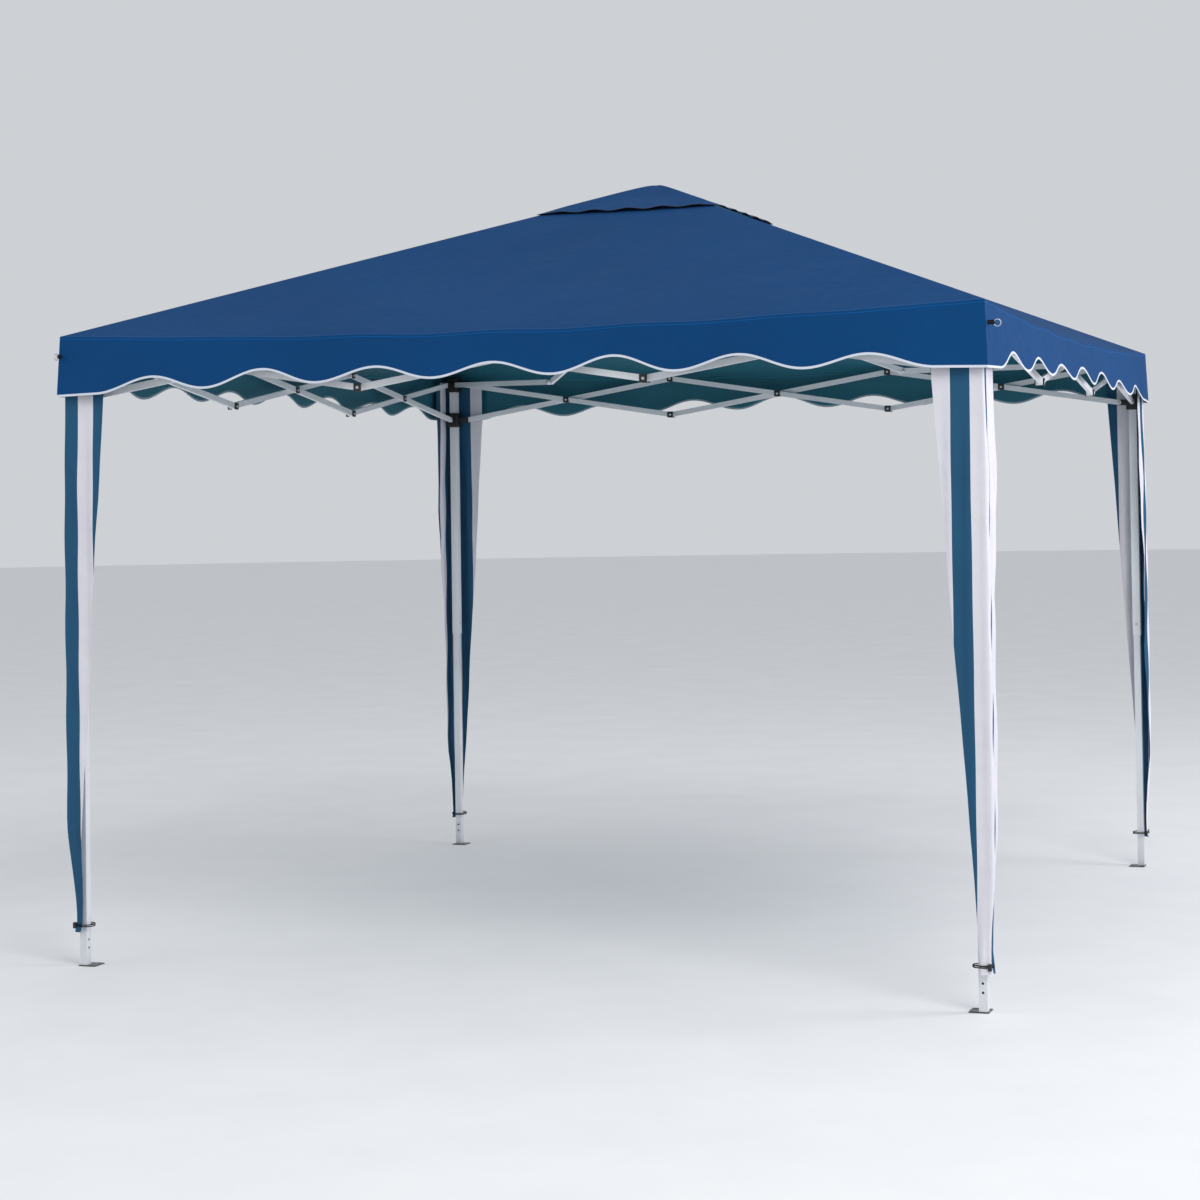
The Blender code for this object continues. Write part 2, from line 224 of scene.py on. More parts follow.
def plastic_material(name, colour, rough):
    """Moulded nylon: fine sparked grain, scuffs that go paler and duller."""
    t = Tree(name, Specular_IOR_Level=0.45)
    grain = t.noise(900.0, 2.0)
    scuffs = t.noise(60.0, 6.0, 0.75)
    scuffed = shade(tuple(c + 0.02 for c in colour), 1.8)
    tone = t.mix(t.span(scuffs, 0.0, 0.6, 0.58, 0.75), colour, scuffed)
    normal = t.bump(grain, 0.22, 0.0003)
    normal = t.bump(scuffs, 0.08, 0.0008, normal)
    return t.finish(tone, t.span(scuffs, rough - 0.08, rough + 0.12, 0.3, 0.7), normal)


def metal_material(name, colour, rough):
    """Zinc plated rivets and rings, brushed a little."""
    t = Tree(name, Metallic=0.85)
    brushed = t.noise(260.0, 3.0, 0.6, stretch=(1.0, 1.0, 6.0))
    dark, pale = shade(colour, 0.82), shade(colour, 1.1)
    tone = t.mix(t.span(brushed, 0.0, 1.0, 0.3, 0.7), dark, pale)
    roughness = t.span(brushed, rough - 0.05, rough + 0.12, 0.3, 0.7)
    return t.finish(tone, roughness, t.bump(brushed, 0.12, 0.0003))


ROOF_BLUE = cloth_material("roof_cloth_outside", (0.0022, 0.050, 0.165))
# The inside face of the cloth: its teal is painted light, standing for light shining through the blue
# cloth
TEAL = cloth_material("roof_cloth_inside_painted_translucency", (0.012, 0.115, 0.165), rough=0.60, gloss=0.25)
TAPE = dict(seams=False, crease=0.10, depth=0.05)
BINDING = cloth_material("white_binding", (0.62, 0.66, 0.74), **TAPE)
# The inside face of the binding: the same white tape painted grey, as painted shade under the roof
BINDING_PAINTED_SHADE = cloth_material("binding_inside_painted_shade", (0.26, 0.34, 0.40), **TAPE)
DRAPE_WHITE = cloth_material(
    "drape_white", (0.66, 0.65, 0.70), seams=False, crease=0.55, depth=0.06
)
DRAPE_BLUE = cloth_material("drape_blue", (0.020, 0.085, 0.165), seams=False, crease=0.35)
DRAPE_TEAL = cloth_material("drape_teal", (0.010, 0.080, 0.125), seams=False, crease=0.35)
STEEL = steel_material("white_powder_coat", (0.74, 0.76, 0.79), 0.34)
TUBE = steel_material("leg_tube", (0.70, 0.72, 0.76), 0.32, metal=0.1, dark_foot=True)
BLACK = plastic_material("black_nylon", (0.016, 0.016, 0.018), 0.46)
RED_BROWN = plastic_material("button_red_brown", (0.16, 0.030, 0.020), 0.40)
RIVET = metal_material("zinc_rivet", (0.62, 0.63, 0.65), 0.34)
# Black webbing for the drape ties and corner straps; on the vent cap's rim the same black is a band
# of painted shadow
WEBBING_AND_GAP_SHADE = cloth_material(
    "black_webbing_and_gap_shade", (0.012, 0.012, 0.014), seams=False, crease=0.1, depth=0.2
)

for name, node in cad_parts.items():
    if name.startswith("inner_leg"):
        finish = TUBE
    elif name.startswith("slider_button"):
        finish = RED_BROWN
    elif name.startswith(("slider", "top_bracket")) or name == "hub":
        finish = BLACK
    else:
        finish = STEEL
    for place in node.material_slots:
        place.material = finish


# ---------------------------------------------------------------- meshes
def turned(points, k):
    """Points turned by k quarter turns about the vertical."""
    points = np.asarray(points, float)
    x, y = points[..., 0], points[..., 1]
    for _ in range(k % 4):
        x, y = -y, x
    return np.stack([x, y, points[..., 2]], axis=-1)


def placed(name, mesh, materials):
    made = bpy.data.objects.new(name, mesh)
    bpy.context.scene.collection.objects.link(made)
    for m in materials:
        mesh.materials.append(m)
    return made


def grid_normals(points, out):
    """Unit normals of a grid of points, on the side that a rough outward direction points to."""
    du = np.gradient(points, axis=0)
    dv = np.gradient(points, axis=1)
    normal = np.cross(du, dv)
    size = np.linalg.norm(normal, axis=-1, keepdims=True)
    normal = np.where(size > 1e-12, normal / np.maximum(size, 1e-12), out)
    sign = np.sign((normal * out).sum(-1, keepdims=True))
    return normal * np.where(sign == 0, 1, sign)


def cloth(name, patches, materials, thick=THICK):
    """One closed thin sheet from patches of (points, normals, uv, the two materials of a cell).

    Both faces keep the given normals, so that separate sheets meet without a visible seam.
    """
    verts, faces, normals, uvs, slots = [], [], [], [], []
    for points, normal, uv, finish in patches:
        m, n = points.shape[:2]
        start, count = len(verts), m * n
        verts.extend(points.reshape(-1, 3).tolist())
        verts.extend((points - normal * thick).reshape(-1, 3).tolist())
        flat_n, flat_uv = normal.reshape(-1, 3), uv.reshape(-1, 2)
        a = points[m // 2 + 1, n // 2] - points[m // 2, n // 2]
        b = points[m // 2, n // 2 + 1] - points[m // 2, n // 2]
        forward = np.dot(np.cross(a, b), normal[m // 2, n // 2]) > 0
        for i in range(m - 1):
            for j in range(n - 1):
                quad = [i * n + j, (i + 1) * n + j, (i + 1) * n + j + 1, i * n + j + 1]
                if not forward:
                    quad.reverse()
                outer, inner = finish(i, j)
                faces.append([start + q for q in quad])
                normals.extend(flat_n[quad].tolist())
                uvs.extend(flat_uv[quad].tolist())
                slots.append(outer)
                quad.reverse()
                faces.append([start + count + q for q in quad])
                normals.extend((-flat_n[quad]).tolist())
                uvs.extend(flat_uv[quad].tolist())
                slots.append(inner)
        ring = [(i, 0) for i in range(m)] + [(m - 1, j) for j in range(1, n)]
        ring += [(i, n - 1) for i in range(m - 2, -1, -1)] + [(0, j) for j in range(n - 2, 0, -1)]
        for (i, j), (p, q) in zip(ring, ring[1:] + ring[:1]):
            one, two = i * n + j, p * n + q
            edge = [one, one + count, two + count, two]
            if not forward:
                edge.reverse()
            face = [start + e for e in edge]
            corners = [np.array(verts[f]) for f in face]
            across = np.cross(corners[2] - corners[0], corners[3] - corners[1])
            across = across / max(np.linalg.norm(across), 1e-12)
            faces.append(face)
            normals.extend([across.tolist()] * 4)
            uvs.extend([flat_uv[e % count].tolist() for e in edge])
            slots.append(finish(min(i, p, m - 2), min(j, q, n - 2))[0])
    mesh = bpy.data.meshes.new(name)
    mesh.from_pydata(verts, [], faces)
    mesh.polygons.foreach_set("use_smooth", [True] * len(faces))
    made = placed(name, mesh, materials)
    mesh.polygons.foreach_set("material_index", slots)
    layer = mesh.uv_layers.new(name="UVMap")
    layer.data.foreach_set("uv", np.array(uvs, np.float32).ravel())
    mesh.normals_split_custom_set(normals)
    mesh.update()
    return made


def smooth(value):
    t = np.clip(value, 0, 1)
    return t * t * (3 - 2 * t)


# ---------------------------------------------------------------- roof and valances
EAVE_SAG, EAVE_SAG_REACH, HOLLOW = 0.036, 0.38, 0.020
RIPPLE_LONG, RIPPLE_SHORT, RIPPLE_EAVE, RIPPLE_REACH = 0.0045, 0.0025, 0.0030, 0.16


def roof_height(x, h, k):
    """The roof of side k at x along it and h out: hips held straight, slack and hollow between."""
    free = np.clip(1 - (x / np.maximum(h, 1e-6)) ** 2, 0, 1)
    s = (EAVE - h) / (EAVE - VENT)
    belly = np.sin(np.pi * np.clip(s, 0, 1))
    sag = free * (EAVE_SAG * np.exp(-(EAVE - h) / EAVE_SAG_REACH) + HOLLOW * belly)
    phase = 1.7 * k
    near_eave = np.exp(-(EAVE - h) / RIPPLE_REACH)
    ripple = RIPPLE_LONG * np.sin(TAU * (1.25 * x + 0.55 * s) + phase) * belly
    ripple = ripple + RIPPLE_SHORT * np.sin(TAU * (3.1 * x - 1.2 * s) + 2.1 * phase) * belly
    ripple = ripple + RIPPLE_EAVE * np.cos(TAU * 2.2 * x + phase) * near_eave
    return EAVE_Z + RISE * (1 - h / EAVE) - sag + np.sqrt(free) * free * ripple


ROOF_ROWS = 37


def roof_patch(low, high, sign, k):
    """The strip of side k from low to high along the eave, up to the hip or to the vent."""
    steps = [np.linspace(low, high, 19)]
    if low < VENT < high:
        steps = [np.linspace(low, VENT, 11), np.linspace(VENT, high, 9)[1:]]
    x = np.concatenate(steps)[:, None] * np.ones(ROOF_ROWS)[None, :]
    share = np.linspace(0, 1, ROOF_ROWS)[None, :]
    h = EAVE - share * (EAVE - np.maximum(x, VENT))
    at = lambda a, b: np.stack([a * sign, -b, roof_height(a * sign, b, k)], axis=-1)
    points, e = at(x, h), STEP
    normal = np.cross(at(x + e, h) - at(x - e, h), at(x, h + e) - at(x, h - e))
    normal = normal / np.linalg.norm(normal, axis=-1, keepdims=True)
    normal = normal * np.sign(normal[..., 2:3])
    uv = np.stack([x * sign, (EAVE - h) * SLOPE], axis=-1)
    return turned(points, k), turned(normal, k), uv, lambda i, j: (OUTSIDE, INSIDE)


ARCHES, FLAT_END, ARCH_RISE, BAND, MIDDLE_LIFT = 7, 0.15, 0.044, 0.007, 0.019
VALANCE_CELL, VALANCE_ROWS = 0.0095, 12


def hem_height(x, k):
    """The scalloped lower edge: seven arches a side, and low and flat at each corner."""
    span = 2 * (EAVE - FLAT_END)
    t = (x + EAVE - FLAT_END) / span * ARCHES
    wave = np.where((t > 0) & (t < ARCHES), 0.5 - 0.5 * np.cos(TAU * t), 0.0)
    lift = 1 + 0.12 * np.sin(1.9 * np.floor(np.clip(t, 0, ARCHES - 0.01)) + k)
    middle = MIDDLE_LIFT * (1 - (x / EAVE) ** 2)
    return HEM_Z + ARCH_RISE * wave * lift + middle


def valance_patch(low, high, sign, k):
    """The valance under one roof strip, swinging out a little, with a bound hem as its last row."""
    count = int(round((high - low) / VALANCE_CELL))
    share = np.concatenate([np.linspace(0, 1, VALANCE_ROWS), [2.0]])[None, :]
    x = np.linspace(low, high, count)[:, None] * np.ones(VALANCE_ROWS + 1)[None, :]

    def at(a, s):
        top = roof_height(a, np.full_like(a, EAVE), k)
        hem = hem_height(a, k)
        down = np.minimum(s, 1)
        z = top + (hem + BAND - top) * down - BAND * np.clip(s - 1, 0, 1)
        window = np.clip(1 - np.abs(a / EAVE) ** 10, 0, 1)
        phase = TAU * (a + EAVE - FLAT_END) / (2 * (EAVE - FLAT_END)) * ARCHES
        swing = 0.5 + 0.5 * np.cos(phase + 0.5 * np.sin(2.3 * a + k))
        flutter = 0.5 + 0.5 * np.sin(17 * a + 2 * k)
        out = 0.008 * down + window * down * (0.010 * swing + 0.004 * flutter)
        out = out + 0.0006 * np.clip(s - 1, 0, 1)
        return np.stack([a * (EAVE + 0.008 * down) / EAVE, -(EAVE + out), z], axis=-1)

    inside = np.minimum(share * np.ones_like(x), 1.0)
    points = at(x * sign, share * np.ones_like(x))
    along = at(x * sign + STEP, inside) - at(x * sign - STEP, inside)
    normal = np.cross(along, at(x * sign, inside) - at(x * sign, inside - 0.02))
    normal = normal / np.linalg.norm(normal, axis=-1, keepdims=True)
    normal = normal * -np.sign(normal[..., 1:2])
    uv = np.stack([x * sign, points[..., 2] - points[:, :1, 2]], axis=-1)
    # The bound row: white binding outside, and on its inside face the tape painted grey as painted
    # shade
    bound, plain = (BINDING_AND_GAP_SHADE, BOUND_INSIDE), (OUTSIDE, INSIDE)
    finish = lambda i, j: bound if j == VALANCE_ROWS - 1 else plain
    return turned(points, k), turned(normal, k), uv, finish


def roof_area(low, high):
    """The flat area of a roof strip, summed over 200 slices."""
    slices = (EAVE - max(low + (high - low) * (i + 0.5) / 200, VENT) for i in range(200))
    return sum(slices) / 200 * (high - low) * SLOPE


# Side k faces front, right, rear or left. Its +x half hangs from corner k's "last" bars, and its
# -x half from the "next" bars of the corner before it.
for k in range(4):
    for sign, corner, way in ((1, CORNERS[k], "last"), (-1, CORNERS[k - 1], "next")):
        for n, kind in enumerate(BARS):
            low, high = SPLITS[n], SPLITS[n + 1]
            bar, at_bar = f"bar_{kind}_{way}_{corner}", f"{kind}_{way}_{corner}"
            slant = turned(np.array([0.0, EAVE, 0.0]), k) + np.array([0, 0, RISE])
            eave = np.array([sign * (low + high) / 2, -EAVE, EAVE_Z - EAVE_HANG[n]])
            eave = turned(eave, k)
            patch = roof_patch(low, high, sign, k)
            strip = cloth(f"roof_{at_bar}", [patch], (ROOF_BLUE, TEAL))
            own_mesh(strip)
            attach(strip, bar)
            round((EAVE - max(low, VENT)) * SLOPE, 4)
            roof_area(low, high)
            patch = valance_patch(low, high, sign, k)
            hem = cloth(f"valance_{at_bar}", [patch], (ROOF_BLUE, TEAL, BINDING, BINDING_PAINTED_SHADE))
            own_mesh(hem)
            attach(hem, bar)
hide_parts("canopy")


# ---------------------------------------------------------------- vent cap
CAP_FALL, CAP_ROUND, HIP_ROUND = 0.3833, 0.03, 22
CAP_COLUMNS, CAP_ROWS = 37, 26


def cap_point(f, h):
    """A point of the small roof, a share f across a side and h out. Its peak is round."""
    x = f * h
    far = (np.abs(x) ** HIP_ROUND + np.abs(h) ** HIP_ROUND) ** (1 / HIP_ROUND)
    z = EAVE_Z + RISE + CAP_GAP - CAP_FALL * np.sqrt(far**2 + CAP_ROUND**2)
    rim = smooth((h / CAP - 0.72) / 0.28)
    z = z + rim * (0.0035 * np.sin(TAU * (2.6 * f + 0.2)) * (1 - f**4) - 0.003)
    z = z - 0.010 * np.sin(np.pi * np.clip(h / CAP, 0, 1)) * (1 - f**2)
    return np.stack([x, -h, z], axis=-1)


cap_patches = []
for k in range(4):
    f = np.linspace(-1, 1, CAP_COLUMNS)[:, None] * np.ones(CAP_ROWS)[None, :]
    rows = np.append(np.linspace(0.0006, CAP - 0.006, CAP_ROWS - 1), CAP)
    h = rows[None, :] * np.ones(CAP_COLUMNS)[:, None]
    points = cap_point(f, h)
    normal = grid_normals(points, np.array([0, 0, 1.0]))
    uv = np.stack([points[..., 0], CAP - h], axis=-1)
    # The cell row by the rim is black on both faces: painted shadow of the gap between cap and roof,
    # not a real binding
    finish = lambda i, j: (BINDING_AND_GAP_SHADE, BINDING_AND_GAP_SHADE) if j == CAP_ROWS - 2 else (OUTSIDE, INSIDE)
    cap_patches.append((turned(points, k), turned(normal, k), uv, finish))
cap = cloth("vent_cap_cloth", cap_patches, (ROOF_BLUE, TEAL, WEBBING_AND_GAP_SHADE))
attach(cap, "hub")
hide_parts("vent_cap")


# ---------------------------------------------------------------- drapes
# Each stripe: how far from the corner it ends, and the slot of its colour
FRONT_STRIPES = ((0.038, 0), (0.094, 1), (0.148, 0), (0.161, 2))
SIDE_STRIPES = ((0.047, 1), (0.102, 0), (0.142, 1), (0.150, 2))
PALE_STRIPES = ((0.012, 0), (0.044, 1), (0.130, 0), (0.150, 2))


FOLD_PITCH, CORNER_BEND, TIE_RADIUS, TIE_TURN = 0.054, 0.011, 0.0262, 0.030
DRAPE_NARROW, DRAPE_CELL, DRAPE_ROWS = 0.028, 0.0042, 64


def drape_point(d, z, k):
    """The curtain at d round the corner: straight from its rail, and tied to the leg below."""
    top = smooth((1.80 - z) / 0.30)

    def bend(t):
        dip = 0.5 * CORNER_BEND * np.exp(-np.abs(t) / 0.02)
        return 0.5 * (t + np.sqrt(t * t + CORNER_BEND**2)) - dip

    wave = 0.5 + 0.5 * np.sin(TAU * d / FOLD_PITCH + 0.7 * np.sin(1.9 * z + k) + k)
    slant = 0.5 + 0.5 * np.sin(TAU * (np.abs(d) * 9.0 + z * 3.4) + 1.3 * k)
    out = (0.0015 + 0.0065 * top) * wave + 0.0035 * top * slant
    x, y = DRAPE_AT - bend(-d), -DRAPE_AT + bend(d)
    side = smooth(0.5 + d / 0.03)
    x, y = x + out * side, y - out * (1 - side)
    gather = smooth((0.46 - z) / 0.31)
    pleats = 0.0016 * np.sin(d / TIE_RADIUS * 6)
    radius = TIE_RADIUS + np.clip(TIE_Z - z, 0, 1) * 0.35 + pleats
    angle = -math.pi / 4 + d / TIE_TURN
    ring_x, ring_y = LEG + radius * np.cos(angle), -LEG + radius * np.sin(angle)
    return np.stack([x + (ring_x - x) * gather, y + (ring_y - y) * gather, z], axis=-1)


def drape_patch(k, sign, stripes):
    """One wing. Its stripes stay upright and its inner edge cuts across them to the foot."""
    wide = stripes[-1][0]
    ends = [0.0] + [s[0] for s in stripes]
    columns, colours = [0.0], []
    for (a, b), (_, colour) in zip(zip(ends, ends[1:]), stripes):
        count = max(2, int(round((b - a) / DRAPE_CELL)))
        columns.extend(np.linspace(a, b, count + 1)[1:].tolist())
        colours.extend([colour] * count)
    d = np.array(columns)
    cut = np.clip((d - DRAPE_NARROW) / (wide - DRAPE_NARROW), 0, 0.985)
    low = DRAPE_LOW + (DRAPE_TOP - DRAPE_LOW) * cut
    share = np.linspace(0, 1, DRAPE_ROWS)[None, :]
    z = low[:, None] + (DRAPE_TOP - low)[:, None] * share
    d = (d * sign)[:, None] * np.ones(DRAPE_ROWS)[None, :]
    points = drape_point(d, z, k)
    across = drape_point(d + STEP, z, k) - drape_point(d - STEP, z, k)
    upward = drape_point(d, z + STEP, k) - drape_point(d, z - STEP, k)
    normal = np.cross(across, upward)
    normal = normal / np.linalg.norm(normal, axis=-1, keepdims=True)
    out = (normal * np.array([1.0, -1.0, 0.0])).sum(-1, keepdims=True)
    normal = normal * np.where(out < 0, -1, 1)
    uv = np.stack([d, z], axis=-1)
    return turned(points, k), turned(normal, k), uv, lambda i, j: (colours[i], colours[i])


for k, corner in enumerate(CORNERS):
    front = drape_patch(k, -1, FRONT_STRIPES)
    side = drape_patch(k, 1, PALE_STRIPES if k == 0 else SIDE_STRIPES)
    colours = (DRAPE_WHITE, DRAPE_BLUE, DRAPE_TEAL)
    drape = cloth(f"drape_cloth_{corner}", [front, side], colours, thick=0.0008)
    place = turned(np.array([DRAPE_AT, -DRAPE_AT, DRAPE_TOP]), k)
    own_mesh(drape)
    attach(drape, f"leg_{corner}")
    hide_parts(f"drape_{corner}")


# ---------------------------------------------------------------- hard fittings
DOME_SIDES, RING_SIDES, WIRE_SIDES = 14, 28, 8
DOME_PROFILE = ((1.0, 0.0), (0.97, 0.35), (0.75, 0.75), (0.38, 0.97))  # radius, height


def facing(middle, axis):
    """A place whose own Z points along an axis."""
    turn = Vector(axis).to_track_quat("Z", "Y").to_matrix().to_4x4()
    return Matrix.Translation(middle) @ turn


def add_block(bm, middle, size, soft, slot):
    """A block with soft edges."""
    place = Matrix.Translation(middle) @ Matrix.Diagonal((*size, 1))
    made = bmesh.ops.create_cube(bm, size=1, matrix=place)
    edges = list({e for v in made["verts"] for e in v.link_edges})
    after = bmesh.ops.bevel(bm, geom=edges, offset=soft, segments=2, affect="EDGES", profile=0.6)
    for f in {f for v in after["verts"] for f in v.link_faces} | set(after["faces"]):
        f.material_index = slot


def add_dome(bm, middle, axis, radius, high, slot):
    """A rivet head: a flat-bottomed dome on a surface."""
    angles = [TAU * j / DOME_SIDES for j in range(DOME_SIDES)]
    rings = [
        [bm.verts.new((radius * math.cos(a) * r, radius * math.sin(a) * r, high * z)) for a in angles]
        for r, z in DOME_PROFILE
    ]
    tip = bm.verts.new((0, 0, high))
    after = [(j, (j + 1) % DOME_SIDES) for j in range(DOME_SIDES)]
    faces = []
    for a, b in zip(rings, rings[1:]):
        faces += [bm.faces.new((a[i], a[j], b[j], b[i])) for i, j in after]
    faces += [bm.faces.new((rings[-1][i], rings[-1][j], tip)) for i, j in after]
    faces.append(bm.faces.new(rings[0][::-1]))
    for f in faces:
        f.material_index = slot
        f.smooth = True
    verts = [v for ring in rings for v in ring] + [tip]
    bmesh.ops.transform(bm, matrix=facing(middle, axis), verts=verts)


def add_ring(bm, middle, axis, radius, thick, slot):
    """A ring of round wire."""
    rings = []
    for i in range(RING_SIDES):
        a = TAU * i / RING_SIDES
        rings.append([])
        for j in range(WIRE_SIDES):
            b = TAU * j / WIRE_SIDES
            out = radius + thick * math.cos(b)
            place = (out * math.cos(a), out * math.sin(a), thick * math.sin(b))
            rings[-1].append(bm.verts.new(place))
    for one, two in zip(rings, rings[1:] + rings[:1]):
        for i in range(WIRE_SIDES):
            j = (i + 1) % WIRE_SIDES
            face = bm.faces.new((one[i], two[i], two[j], one[j]))
            face.material_index, face.smooth = slot, True
    verts = [v for ring in rings for v in ring]
    bmesh.ops.transform(bm, matrix=facing(middle, axis), verts=verts)


def fitting(name, body, k, fill, materials):
    """A piece built at the front right corner by fill(bm), turned to corner k, on a body."""
    bm = bmesh.new()
    fill(bm)
    bmesh.ops.transform(bm, matrix=Matrix.Rotation(k * math.pi / 2, 4, "Z"), verts=bm.verts)
    bmesh.ops.recalc_face_normals(bm, faces=bm.faces)
    mesh = bpy.data.meshes.new(name)
    bm.to_mesh(mesh)
    bm.free()
    made = placed(name, mesh, materials)
    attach(made, body)
    return made


BAR_FACE, PLATE, PLATE_THICK = 0.0124, 0.025, 0.0032
SUNK = 0.0002  # how deep a rivet head starts in its bar
PIVOT_RIVET, ELBOW_RIVET = (0.0055, 0.0026), (0.0068, 0.0028)  # radius, height
# The way along a truss side from the corner, the way out of it, and the down bar's layer
SIDES = {
    "next": (Vector((0, 1, 0)), Vector((1, 0, 0)), 1),
    "last": (Vector((-1, 0, 0)), Vector((0, -1, 0)), -1),
}


def add_rivet(bm, pin, way, size, slot):
    """A rivet head on a bar's face, on one side of its pin."""
    add_dome(bm, pin + way * (BAR_FACE - SUNK), way, *size, slot)


def joint_plates(bm, middle, normal):
    """Two square plates with rivets, one on each side of a crossing."""
    across = Vector((abs(normal.x), abs(normal.y), 0))
    size = Vector((1, 1, 1)) * PLATE - across * (PLATE - PLATE_THICK)
    for way in (1, -1):
        face = normal * way
        add_block(bm, middle + face * (BAR_FACE + PLATE_THICK / 2), size, 0.0012, 0)
        add_dome(bm, middle + face * (BAR_FACE + PLATE_THICK), face, 0.0052, 0.0022, 1)


def fit_plates(kind, way, corner, k, fill):
    """The joint plates and rivets of one truss bar."""
    name, bar = f"joint_plates_{kind}_{way}_{corner}", f"bar_{kind}_{way}_{corner}"
    fitting(name, bar, k, fill, (BLACK, RIVET))


for k, corner in enumerate(CORNERS):
    for way, (along, normal, sign) in SIDES.items():
        top = Vector((LEG, -LEG, PIVOT_Z)) + along * LUG
        low = top - Vector((0, 0, DROP))
        crossing = top + along * (UNIT / 2) - Vector((0, 0, DROP / 2))

        def down(bm):
            joint_plates(bm, crossing, normal)
            joint_plates(bm, low + along * UNIT, normal)
            add_rivet(bm, top, normal * sign, PIVOT_RIVET, 1)

        def up(bm):
            joint_plates(bm, top + along * UNIT, normal)
            add_rivet(bm, low, -normal * sign, PIVOT_RIVET, 1)

        fit_plates("down", way, corner, k, down)
        fit_plates("up", way, corner, k, up)

    def middle(bm):
        joint_plates(bm, Vector((LEG, 0, PIVOT_Z - DROP / 2)), SIDES["next"][1])

    name, bar = f"joint_plates_middle_{corner}", f"bar_middle_next_{corner}"
    fitting(name, bar, k, middle, (BLACK, RIVET))

# Rafter rivets at the hub, the elbow and the leg, then the leg's snap button and the drape's tie
SNAP_Z, KNOT = 0.945, 0.0235
TILT, SCISSOR = math.radians(7.0), math.atan2(DROP, UNIT)
RAFTER = 1.5 * math.hypot(UNIT, DROP) * math.sqrt(2) / (2 * math.cos(TILT))
HUB_Z = PIVOT_Z + 2 * RAFTER * math.sin(TILT) * math.cos(SCISSOR)
OUTWARD = Vector((1, -1, 0)).normalized()
ACROSS = Vector((0, 0, 1)).cross(OUTWARD)
RAFTER_LUG = 0.045
hub_pin = OUTWARD * (math.sqrt(2) * LUG - RAFTER_LUG) + Vector((0, 0, HUB_Z))
fall = TILT + SCISSOR
elbow = hub_pin + RAFTER * (OUTWARD * math.cos(fall) - Vector((0, 0, 1)) * math.sin(fall))
leg_pin = OUTWARD * (LEG * math.sqrt(2) - RAFTER_LUG) + Vector((0, 0, PIVOT_Z))
for k, corner in enumerate(CORNERS):

    def inner_pins(bm):
        for way in (1, -1):
            add_rivet(bm, elbow, ACROSS * way, ELBOW_RIVET, 0)
        add_rivet(bm, hub_pin, -ACROSS, PIVOT_RIVET, 0)

    def outer_pins(bm):
        add_rivet(bm, leg_pin, ACROSS, PIVOT_RIVET, 0)

    for half, fill in (("inner", inner_pins), ("outer", outer_pins)):
        name, rafter = f"rafter_rivets_{half}_{corner}", f"{half}_rafter_{corner}"
        fitting(name, rafter, k, fill, (RIVET,))

    def snap(bm):
        add_dome(bm, Vector((LEG - 0.0151, -LEG, SNAP_Z)), (-1, 0, 0), 0.0042, 0.0035, 0)
        add_ring(bm, Vector((LEG - 0.0152, -LEG, SNAP_Z)), (-1, 0, 0), 0.0052, 0.0005, 0)

    def tie(bm):
        for z in (TIE_Z - 0.002, TIE_Z + 0.003):
            add_ring(bm, Vector((LEG, -LEG, z)), (0, 0.05, 1), 0.0300, 0.0018, 0)
        knot = Vector((LEG + KNOT, -LEG - KNOT, TIE_Z))
        add_block(bm, knot, Vector((0.011, 0.011, 0.020)), 0.0030, 1)

    fitting(f"leg_snap_{corner}", f"leg_{corner}", k, snap, (RIVET,))
    fitting(f"drape_tie_{corner}", f"foot_{corner}", k, tie, (WEBBING_AND_GAP_SHADE, BLACK))


def strap_and_ring(bm):
    """A webbing loop sewn into the valance corner, with a metal ring."""
    for inset in (0.006, 0.010):
        middle = Vector((EAVE + 0.016, -EAVE + inset, 1.940))
        add_block(bm, middle, Vector((0.020, 0.0022, 0.013)), 0.0009, 0)
    add_ring(bm, Vector((EAVE + 0.034, -EAVE + 0.008, 1.938)), (0, 1, 0), 0.0100, 0.0012, 1)


for k, corner in enumerate(CORNERS):
    name, leg = f"corner_ring_{corner}", f"leg_{corner}"
    fitting(name, leg, k, strap_and_ring, (WEBBING_AND_GAP_SHADE, RIVET))


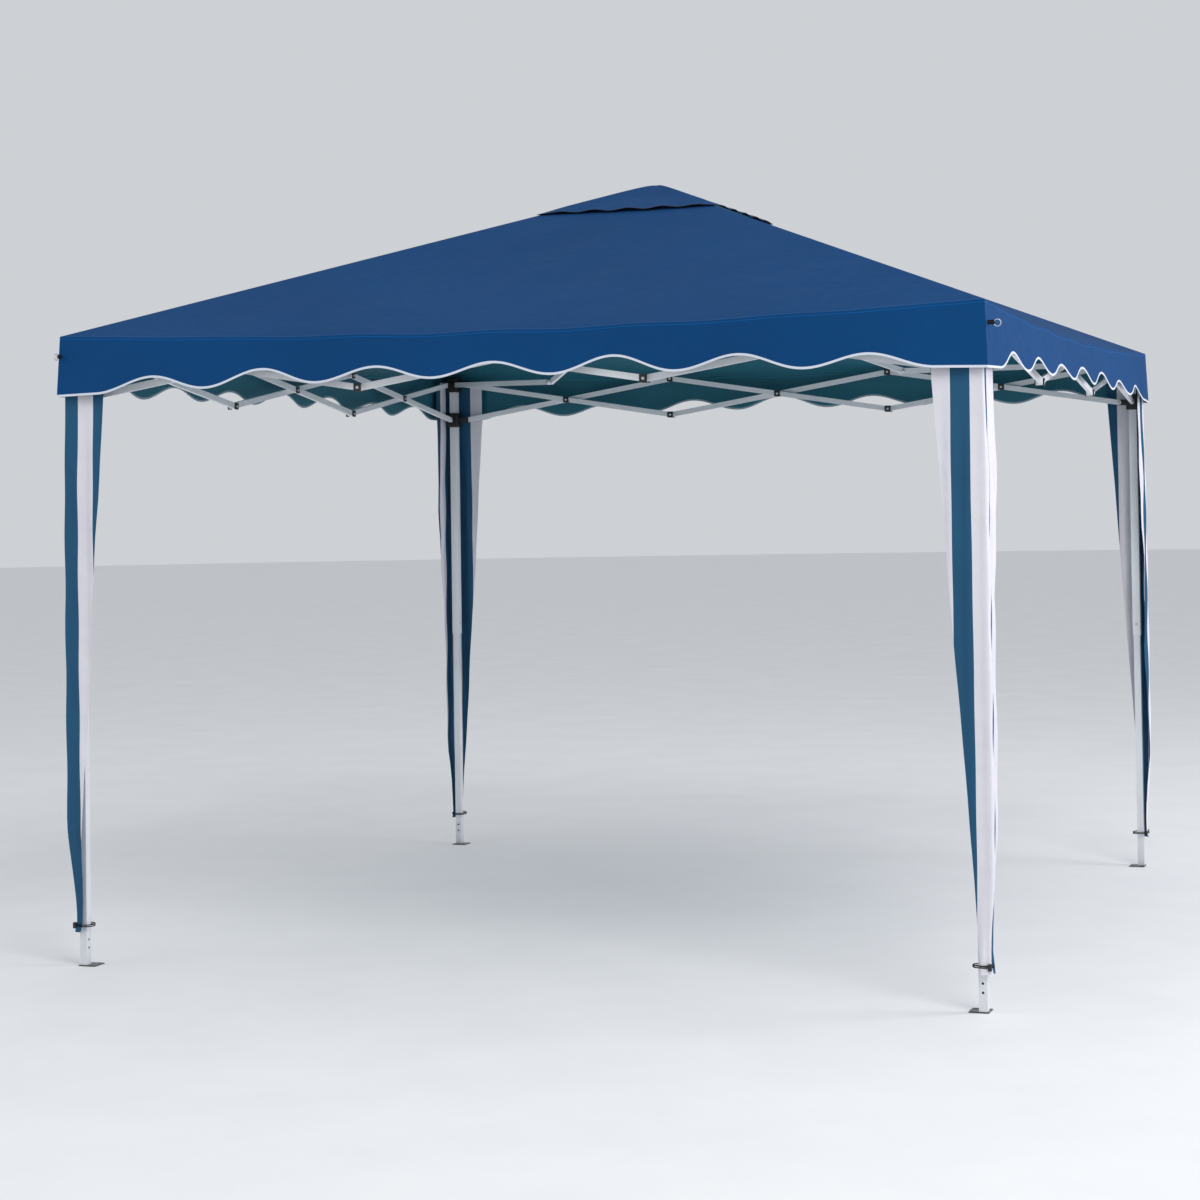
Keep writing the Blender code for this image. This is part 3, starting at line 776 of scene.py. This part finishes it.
# ---------------------------------------------------------------- stage, light, camera
floor_material = Tree("floor_paint", Specular_IOR_Level=0.25)
speck = floor_material.noise(2.5, 6.0, 0.6)
specks = floor_material.span(speck, 0, 1, 0.3, 0.7)
floor_tone = floor_material.mix(specks, (0.80, 0.81, 0.82), (0.84, 0.845, 0.85))
floor_material.finish(floor_tone, 0.7, floor_material.bump(speck, 0.03, 0.002))
ground = bmesh.new()
bmesh.ops.create_circle(ground, cap_ends=True, segments=96, radius=60)
ground_mesh = bpy.data.meshes.new("floor")
ground.to_mesh(ground_mesh)
ground.free()
floor = placed("floor", ground_mesh, (floor_material.material,))
floor.location.z = -0.0005
floor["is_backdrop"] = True

world = bpy.data.worlds.new("studio")
bpy.context.scene.world = world
world.use_nodes = True
background = world.node_tree.nodes["Background"].inputs
background[0].default_value, background[1].default_value = (0.93, 0.96, 1.0, 1), 0.66


def area_light(name, place, towards, size, power, colour=(1, 1, 1)):
    data = bpy.data.lights.new(name, "AREA")
    data.shape, data.size, data.energy, data.color = "DISK", size, power, colour
    made = bpy.data.objects.new(name, data)
    bpy.context.scene.collection.objects.link(made)
    made.location = place
    made.rotation_mode = "QUATERNION"
    made.rotation_quaternion = (Vector(towards) - Vector(place)).to_track_quat("-Z", "Y")


area_light("key", (5.5, -6.5, 8.0), (0, 0, 1.4), 5.0, 430, (1.0, 0.99, 0.97))
area_light("right", (8.0, 1.0, 3.5), (0, 0, 1.6), 4.0, 300, (0.94, 0.92, 1.0))
area_light("fill", (-7.0, -5.0, 4.0), (0, 0, 1.2), 6.0, 90, (0.95, 0.98, 1.0))

# The camera that was fitted to the object's corners
SENSOR, FOCAL_SHARE = 36.0, 2503 / 1200
YAW, PITCH, ROLL = math.radians(18.81), math.radians(1.21), math.radians(-0.85)
s, c, sp, cp = math.sin(YAW), math.cos(YAW), math.sin(PITCH), math.cos(PITCH)
ahead = Vector((-s * cp, c * cp, sp))
right0, up0 = Vector((c, s, 0)), Vector((s * sp, -c * sp, cp))
right = math.cos(ROLL) * right0 + math.sin(ROLL) * up0
up = -math.sin(ROLL) * right0 + math.cos(ROLL) * up0
camera_data = bpy.data.cameras.new("photo_view")
camera_data.sensor_width, camera_data.lens = SENSOR, FOCAL_SHARE * SENSOR
camera_data.shift_x, camera_data.shift_y = -0.075, -0.125
camera_data.clip_end = 200
camera = bpy.data.objects.new("photo_view", camera_data)
bpy.context.scene.collection.objects.link(camera)
turn = Matrix((right, up, -ahead)).transposed().to_4x4()
camera.matrix_world = Matrix.Translation((2.974, -8.41, 1.445)) @ turn
bpy.context.scene.camera = camera
bpy.context.scene.view_settings.view_transform = "Standard"

bpy.context.view_layer.update()
low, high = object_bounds()
{"cad": [list(cad_low), list(cad_high)], "visual": [list(low), list(high)]}
